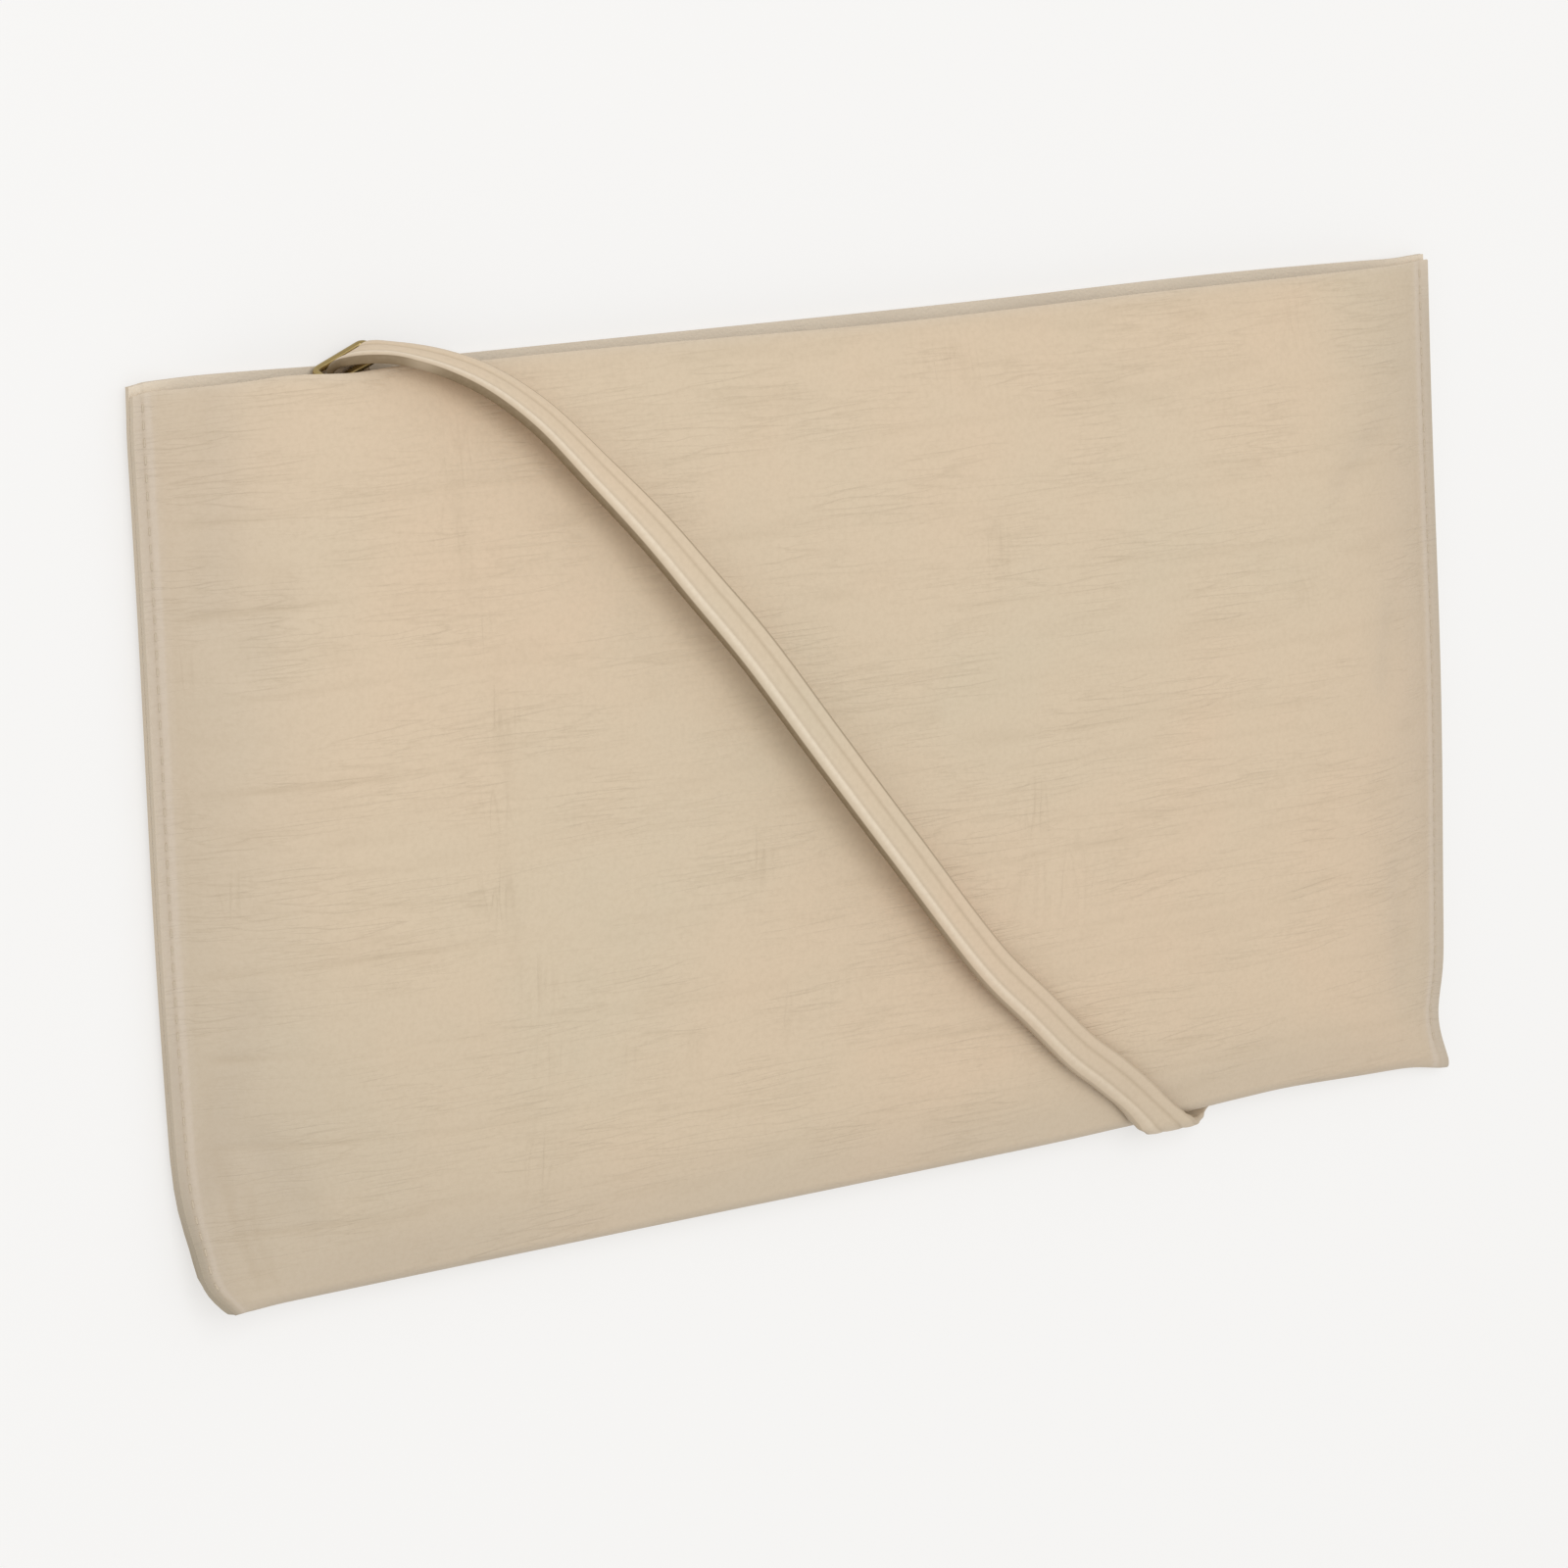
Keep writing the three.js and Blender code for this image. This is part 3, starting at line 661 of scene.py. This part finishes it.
# Thread of the side seams and of the strap's end
sewing = {
    "thread": 0.55, "stitch": 2.9, "pitch": 3.7, "fromEdge": 2.5, "endGap": 4,
    "grooveDepth": 0.3, "grooveHalf": 0.55, "lineShade": (0.9, 0.5), "sink": 0.02,
    "strapFrom": 3.2, "strapTo": 24, "strapRow": 2.5, "strapAcross": 2.0,  # rows on the strap's end
    "bodyShare": 0.55, "ends": [(0.2, 0.3, 0.7), (0.06, 0.5, 0.5)],  # each end's reach, dip and narrowing
}


def stitchMaster():
    # One stitch, modelled once and copied along each line of sewing
    thread, stitch = sewing["thread"] * mm, sewing["stitch"] * mm
    deselectAll()
    bpy.ops.mesh.primitive_cylinder_add(
        vertices=8, radius=thread / 2, depth=stitch * sewing["bodyShare"], rotation=(0, math.pi / 2, 0))
    piece = bpy.context.object
    bpy.ops.object.transform_apply(location=True, rotation=True, scale=True)
    for sign in (1, -1):
        for face in piece.data.polygons:
            face.select = face.normal.x * sign > 0.9  # the face at this end
        bpy.ops.object.mode_set(mode="EDIT")
        for reach, dip, narrow in sewing["ends"]:
            bpy.ops.mesh.extrude_region_move(
                TRANSFORM_OT_translate={"value": (sign * stitch * reach, 0, -thread * dip)})
            bpy.ops.transform.resize(value=(1, narrow, narrow))
        bpy.ops.mesh.select_all(action="DESELECT")
        bpy.ops.object.mode_set(mode="OBJECT")
    facesOut()
    return piece


def stitchesAlong(name, master, places):
    # places: middle of the stitch, the way it runs and the way out of the leather
    made = []
    for middle, way, out in places:
        copy = master.copy()
        copy.data = master.data.copy()
        bpy.context.scene.collection.objects.link(copy)
        way = Vector(way).normalized()
        out = (Vector(out) - way * Vector(out).dot(way)).normalized()
        across = out.cross(way)
        place = Matrix((way, across, out)).transposed().to_4x4()
        place.translation = Vector(middle) * mm
        copy.data.transform(place)
        made.append(copy)
    deselectAll()
    for copy in made:
        copy.select_set(True)
    bpy.context.view_layer.objects.active = made[0]
    bpy.ops.object.join()
    piece = bpy.context.object
    piece.name = piece.data.name = name
    piece.data.materials.append(threadFinish)
    smoothShade(piece, angle=60)
    print(name + ":", len(places), "stitches")
    return piece


def seamPlaces(sign, onFront):
    # Along one side seam, on the front or on the back
    half = pouch["height"] / 2
    x = sign * (pouch["width"] / 2 - sewing["fromEdge"])
    sunk = sewing["grooveDepth"] + sewing["sink"]
    z = pouch["seamTop"] - sunk if onFront else pouch["seamLow"] + sunk
    out = (0, 0, 1 if onFront else -1)
    places = []
    for y in np.arange(half - sewing["endGap"], -half + sewing["endGap"], -sewing["pitch"]):
        here = np.array(drape(x, y, z))
        ahead = np.array(drape(x, y - 0.5, z))  # a little further down, for the way it runs
        places.append((here, ahead - here, out))
    return places


def strapEndPlaces(centre, along, side, out):
    # Two short rows of stitches and one stitch across hold the strap's end to the back
    step = np.linalg.norm(np.diff(centre, axis=0), axis=1)
    fromEnd = np.concatenate([np.cumsum(step[::-1])[::-1], [0]])
    places = []
    sunk = (strap["thick"] - sewing["thread"]) / 2
    for reach in np.arange(sewing["strapFrom"], sewing["strapTo"], sewing["pitch"]):
        i = int(np.argmin(np.abs(fromEnd - reach)))
        for s in (-sewing["strapRow"], sewing["strapRow"]):
            places.append((centre[i] + side[i] * s + out[i] * sunk, along[i], out[i]))
    places.append((centre[-1] - along[-1] * sewing["strapAcross"] + out[-1] * sunk, side[-1], out[-1]))
    return places


# Colours of the finishes, in linear light
tones = {
    "leather": (0.625, 0.506, 0.364),
    "leatherWarm": (0.648, 0.507, 0.362), "leatherCool": (0.603, 0.505, 0.369),
    # painted shade colours: one for the edges and hollows, one for the creases, whose tone also tints the
    # grain's specks
    "handled": (0.47, 0.395, 0.305), "crease": (0.400, 0.310, 0.205),
    "edge": (0.60, 0.51, 0.40), "margin": (0.59, 0.505, 0.415),
    "fleshDark": (0.67, 0.585, 0.475), "fleshLight": (0.73, 0.64, 0.52),
    # painted shade at the side edges, dark edge paint that also carries painted shade, and the painted
    # highlight of the strap's bead
    "tucked": (0.31, 0.265, 0.195), "paint": (0.17, 0.115, 0.055), "bead": (0.84, 0.74, 0.60),
    "thread": (0.56, 0.48, 0.37), "threadDark": (0.48, 0.40, 0.30),
    "gold": (0.36, 0.27, 0.115), "goldWorn": (0.22, 0.165, 0.075),
}

# How strongly each mark tints the leather, how high or deep it stands, and how rough the leather is
marks = {
    "dashes": 0.13, "margin": 0.7, "crease": 0.24, "rim": 0.5, "bead": 0.5, "strapLine": 0.4,
    "shortDash": 0.6, "upright": 1.6,  # as shares of the long dashes
    "pebbleHeight": 0.25, "speckHeight": 0.2, "dashDepth": 0.8,
    "rough": 0.46, "mottleRough": 0.16, "creaseRough": 0.1,
}


# Shader maths: a Value wraps a number socket, and each operator adds a Math node

class Value:
    def __init__(self, finish, socket):
        self.finish, self.socket = finish, socket

    def maths(self, operation, a, b):
        a, b = [v.socket if isinstance(v, Value) else v for v in (a, b)]
        made = self.finish.node("ShaderNodeMath", {"operation": operation}, {0: a, 1: b})
        return Value(self.finish, made.outputs[0])

    def __add__(self, other):
        return self.maths("ADD", self, other)

    def __radd__(self, other):
        return self.maths("ADD", other, self)

    def __sub__(self, other):
        return self.maths("SUBTRACT", self, other)

    def __rsub__(self, other):
        return self.maths("SUBTRACT", other, self)

    def __mul__(self, other):
        return self.maths("MULTIPLY", self, other)

    def __rmul__(self, other):
        return self.maths("MULTIPLY", other, self)


class Finish:
    def __init__(self, name):
        self.material = bpy.data.materials.new(name)
        self.material.use_nodes = True
        self.tree = self.material.node_tree
        self.shader = self.tree.nodes["Principled BSDF"]
        self.place = self.node("ShaderNodeTexCoord", {}, {}).outputs["Object"]

    def node(self, kind, settings, sockets):
        made = self.tree.nodes.new(kind)
        for key, value in settings.items():
            if key == "stops":
                ramp = made.color_ramp
                while len(ramp.elements) < len(value):
                    ramp.elements.new(0.5)
                for element, (position, colour) in zip(ramp.elements, value):
                    element.position, element.color = position, colour
            else:
                setattr(made, key, value)
        for key, value in sockets.items():
            self.feed(made.inputs[key], value)
        return made

    def feed(self, socket, value):
        if isinstance(value, Value):
            value = value.socket
        if isinstance(value, bpy.types.NodeSocket):
            self.tree.links.new(value, socket)
        elif isinstance(value, tuple) and len(value) == 3 and socket.type == "RGBA":
            socket.default_value = (*value, 1)
        else:
            socket.default_value = value

    def set(self, **sockets):
        for key, value in sockets.items():
            self.feed(self.shader.inputs[key.replace("_", " ")], value)

    def noise(self, scale, detail, roughness, stretch=(1, 1, 1)):
        mapped = self.node("ShaderNodeMapping", {}, {"Vector": self.place, "Scale": stretch})
        made = self.node("ShaderNodeTexNoise", {}, {
            "Vector": mapped.outputs[0], "Scale": scale, "Detail": detail, "Roughness": roughness})
        return Value(self, made.outputs["Fac"])

    def cells(self, scale):
        made = self.node("ShaderNodeTexVoronoi", {}, {"Vector": self.place, "Scale": scale})
        return Value(self, made.outputs["Distance"])

    def attribute(self, name):
        made = self.node("ShaderNodeAttribute", {"attribute_name": name}, {})
        return Value(self, made.outputs["Fac"])

    def ramp(self, value, *stops):
        greys = [(position, (level, level, level, 1)) for position, level in stops]
        made = self.node("ShaderNodeValToRGB", {"stops": greys}, {"Fac": value})
        return Value(self, made.outputs["Color"])

    def mix(self, factor, a, b):
        made = self.node("ShaderNodeMix", {"data_type": "RGBA"}, {0: factor, 6: a, 7: b})
        return made.outputs[2]

    def bump(self, height, strength, distance):
        made = self.node("ShaderNodeBump", {}, {"Height": height, "Strength": strength, "Distance": distance})
        self.set(Normal=made.outputs[0])


def makeLeather(name, grain=1.0, embossed=True):
    finish = Finish(name)
    clouds = finish.noise(scale=9, detail=4, roughness=0.55)
    mottle = finish.noise(scale=60, detail=4, roughness=0.6)
    speck = finish.noise(scale=900, detail=2, roughness=0.5)
    crease = finish.attribute("crease")
    colour = finish.mix(finish.ramp(clouds, (0.36, 0), (0.64, 1)), tones["leatherCool"], tones["leatherWarm"])
    colour = finish.mix(finish.ramp(mottle, (0.3, 0), (0.75, 0.5)), colour, tones["leather"])
    # painted shade along the edges and in the hollows; on the strap, painted shade on its lower end
    colour = finish.mix(finish.attribute("handled"), colour, tones["handled"])
    pebble = finish.cells(scale=1500)
    height = pebble * marks["pebbleHeight"] * grain + speck * marks["speckHeight"] * grain
    if embossed:
        # fine broken dashes across the leather, as lines where two stretched noises pass their middle
        longDash = finish.noise(scale=80, detail=1.5, roughness=0.45, stretch=(0.42, 4.6, 1))
        shortDash = finish.noise(scale=150, detail=1.5, roughness=0.45, stretch=(0.45, 4.2, 1))
        dash = [(0.44, 0), (0.49, 1), (0.54, 0)]
        lines = finish.ramp(longDash, *dash) + marks["shortDash"] * finish.ramp(shortDash, *dash)
        patchy = finish.noise(scale=45, detail=2, roughness=0.5, stretch=(0.8, 1.8, 1))
        patches = finish.ramp(patchy, (0.38, 0), (0.62, 1))
        upright = finish.noise(scale=100, detail=1, roughness=0.4, stretch=(4.0, 0.5, 1))
        upLines = finish.ramp(upright, (0.42, 0), (0.49, 1), (0.56, 0))
        dashes = lines * patches + marks["upright"] * upLines * finish.attribute("upright")
        # the dashes are painted darker too: painted shade in their fine creases
        colour = finish.mix(dashes * marks["dashes"], colour, tones["crease"])
        height = height - dashes * marks["dashDepth"]
        colour = finish.mix(finish.attribute("margin") * marks["margin"], colour, tones["margin"])
        # painted shade in the creases and along the seam grooves
        colour = finish.mix(crease * marks["crease"], colour, tones["crease"])
        colour = finish.mix(finish.attribute("rim") * marks["rim"], colour, tones["edge"])
        # painted shade along the side edges
        colour = finish.mix(finish.attribute("tucked"), colour, tones["tucked"])
    else:
        # painted highlight on the strap's bead that faces the camera
        colour = finish.mix(finish.attribute("bead") * marks["bead"], colour, tones["bead"])
        # painted shade along the strap's pressed lines
        colour = finish.mix(crease * marks["strapLine"], colour, tones["crease"])
        # dark edge paint, which also carries painted shade
        colour = finish.mix(finish.attribute("paint"), colour, tones["paint"])
    colour = finish.mix(finish.ramp(speck, (0.4, 0), (0.75, 0.14)), colour, tones["crease"])
    rough = marks["rough"] + marks["mottleRough"] * mottle + marks["creaseRough"] * crease
    finish.set(Base_Color=colour, Roughness=rough, IOR=1.45, Specular_IOR_Level=0.42)
    finish.bump(height, strength=0.35, distance=0.35 * mm)
    return finish.material


def makeFlesh():
    finish = Finish("fleshSide")
    nap = finish.noise(scale=1400, detail=3, roughness=0.6)
    clouds = finish.noise(scale=40, detail=3, roughness=0.5)
    colour = finish.mix(finish.ramp(clouds, (0.3, 0), (0.7, 1)), tones["fleshDark"], tones["fleshLight"])
    finish.set(Base_Color=colour, Roughness=0.85 + 0.1 * nap, Specular_IOR_Level=0.2)
    finish.bump(nap, strength=0.5, distance=0.3 * mm)
    return finish.material


def makeEdge():
    finish = Finish("cutEdge")
    fibre = finish.noise(scale=1800, detail=2, roughness=0.6, stretch=(0.3, 0.3, 1))
    colour = finish.mix(finish.ramp(fibre, (0.35, 0), (0.7, 0.6)), tones["edge"], tones["leather"])
    # painted shade along the side edges
    colour = finish.mix(finish.attribute("tucked"), colour, tones["tucked"])
    finish.set(Base_Color=colour, Roughness=0.6 + 0.15 * fibre, Specular_IOR_Level=0.35)
    finish.bump(fibre, strength=0.3, distance=0.2 * mm)
    return finish.material


def makeThread():
    finish = Finish("thread")
    twist = finish.noise(scale=3000, detail=2, roughness=0.5, stretch=(1, 0.4, 1))
    colour = finish.mix(twist, tones["thread"], tones["threadDark"])
    finish.set(Base_Color=colour, Roughness=0.6 + 0.1 * twist, Specular_IOR_Level=0.3)
    finish.bump(twist, strength=0.4, distance=0.1 * mm)
    return finish.material


def makeGold():
    finish = Finish("goldWire")
    brushed = finish.noise(scale=2500, detail=2, roughness=0.5)
    # random worn patches on the metal, its own colour
    wearAndShade = finish.noise(scale=160, detail=3, roughness=0.6)
    colour = finish.mix(finish.ramp(wearAndShade, (0.35, 0), (0.8, 0.5)), tones["gold"], tones["goldWorn"])
    finish.set(Base_Color=colour, Metallic=1.0, Roughness=0.2 + 0.12 * wearAndShade)
    finish.bump(brushed, strength=0.05, distance=0.05 * mm)
    return finish.material


leatherFinish = makeLeather("pouchGrain")
strapFinish = makeLeather("strapGrain", grain=0.6, embossed=False)
fleshFinish = makeFlesh()
edgeFinish = makeEdge()
threadFinish = makeThread()
goldFinish = makeGold()
print("finishes made")

pouchPiece = buildPouch()
strapPiece = buildStrap()
ringPiece = buildRing()

master = stitchMaster()
seams = [(sign, onFront) for sign in (-1, 1) for onFront in (True, False)]
seamThread = stitchesAlong("seamThread", master, [place for seam in seams for place in seamPlaces(*seam)])
endThread = stitchesAlong("strapEndThread", master, strapEndPlaces(*strapFrames()))
bpy.data.objects.remove(master)

for piece in (pouchPiece, strapPiece, ringPiece, seamThread, endThread):
    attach(piece, "root")
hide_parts("body")
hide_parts("strap")
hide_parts("ring")

# Studio: pale floor, soft light, and the camera at the photo's angle, in metres
studio = {
    "floorSize": 12, "floorDrop": 0.0004, "floor": (0.32, 0.317, 0.313), "floorGrain": (0.318, 0.316, 0.312),
    "glow": (1, 0.992, 0.98), "glowStrength": 0.577,  # the floor is lit from below, so shadows stay faint
    "lampPlace": (-0.5, 0.95, 2.5), "lampSize": 2.0, "lampWatts": 28,
    "air": (1.0, 0.995, 0.985, 1), "airStrength": 0.79,
}
view = {
    "lens": 123.75, "sensor": 36, "place": (-0.67129, 0.20574, 1.00712),
    "right": (0.83265, -0.04263, 0.55216), "down": (-0.13029, -0.98413, 0.1205),
}


def makeFloor():
    finish = Finish("paleFloor")
    grain = finish.noise(scale=30, detail=2, roughness=0.5)
    colour = finish.mix(grain, studio["floor"], studio["floorGrain"])
    finish.set(Base_Color=colour, Roughness=0.9, Specular_IOR_Level=0.1)
    finish.set(Emission_Color=studio["glow"], Emission_Strength=studio["glowStrength"])
    return finish.material


def buildStudio():
    deselectAll()
    bpy.ops.mesh.primitive_plane_add(size=studio["floorSize"], location=(0, 0, -studio["floorDrop"]))
    floor = bpy.context.object
    floor.name = floor.data.name = "studioFloor"
    bpy.ops.object.transform_apply(location=True, rotation=True, scale=True)
    floor.data.materials.append(makeFloor())
    light = bpy.data.lights.new("topSoftbox", "AREA")
    light.shape, light.size, light.energy = "SQUARE", studio["lampSize"], studio["lampWatts"]
    lamp = bpy.data.objects.new("topSoftbox", light)
    bpy.context.scene.collection.objects.link(lamp)
    lamp.location = studio["lampPlace"]
    lamp.rotation_euler = (-Vector(studio["lampPlace"])).to_track_quat("-Z", "Y").to_euler()
    world = bpy.data.worlds.new("studioAir")
    bpy.context.scene.world = world
    world.use_nodes = True
    background = world.node_tree.nodes["Background"]
    background.inputs["Color"].default_value = studio["air"]
    background.inputs["Strength"].default_value = studio["airStrength"]


def buildCamera():
    lens = bpy.data.cameras.new("photoCamera")
    lens.lens, lens.sensor_width = view["lens"], view["sensor"]
    lens.clip_start, lens.clip_end = 0.05, 50
    camera = bpy.data.objects.new("photoCamera", lens)
    bpy.context.scene.collection.objects.link(camera)
    right, down = Vector(view["right"]), Vector(view["down"])
    back = right.cross(-down).normalized()
    up = back.cross(right).normalized()
    camera.matrix_world = Matrix((right.normalized(), up, back)).transposed().to_4x4()
    camera.location = view["place"]
    bpy.context.scene.camera = camera


buildStudio()
buildCamera()
bpy.context.scene.view_settings.view_transform = "Standard"
bpy.context.scene.view_settings.look = "None"
print("studio and camera set")
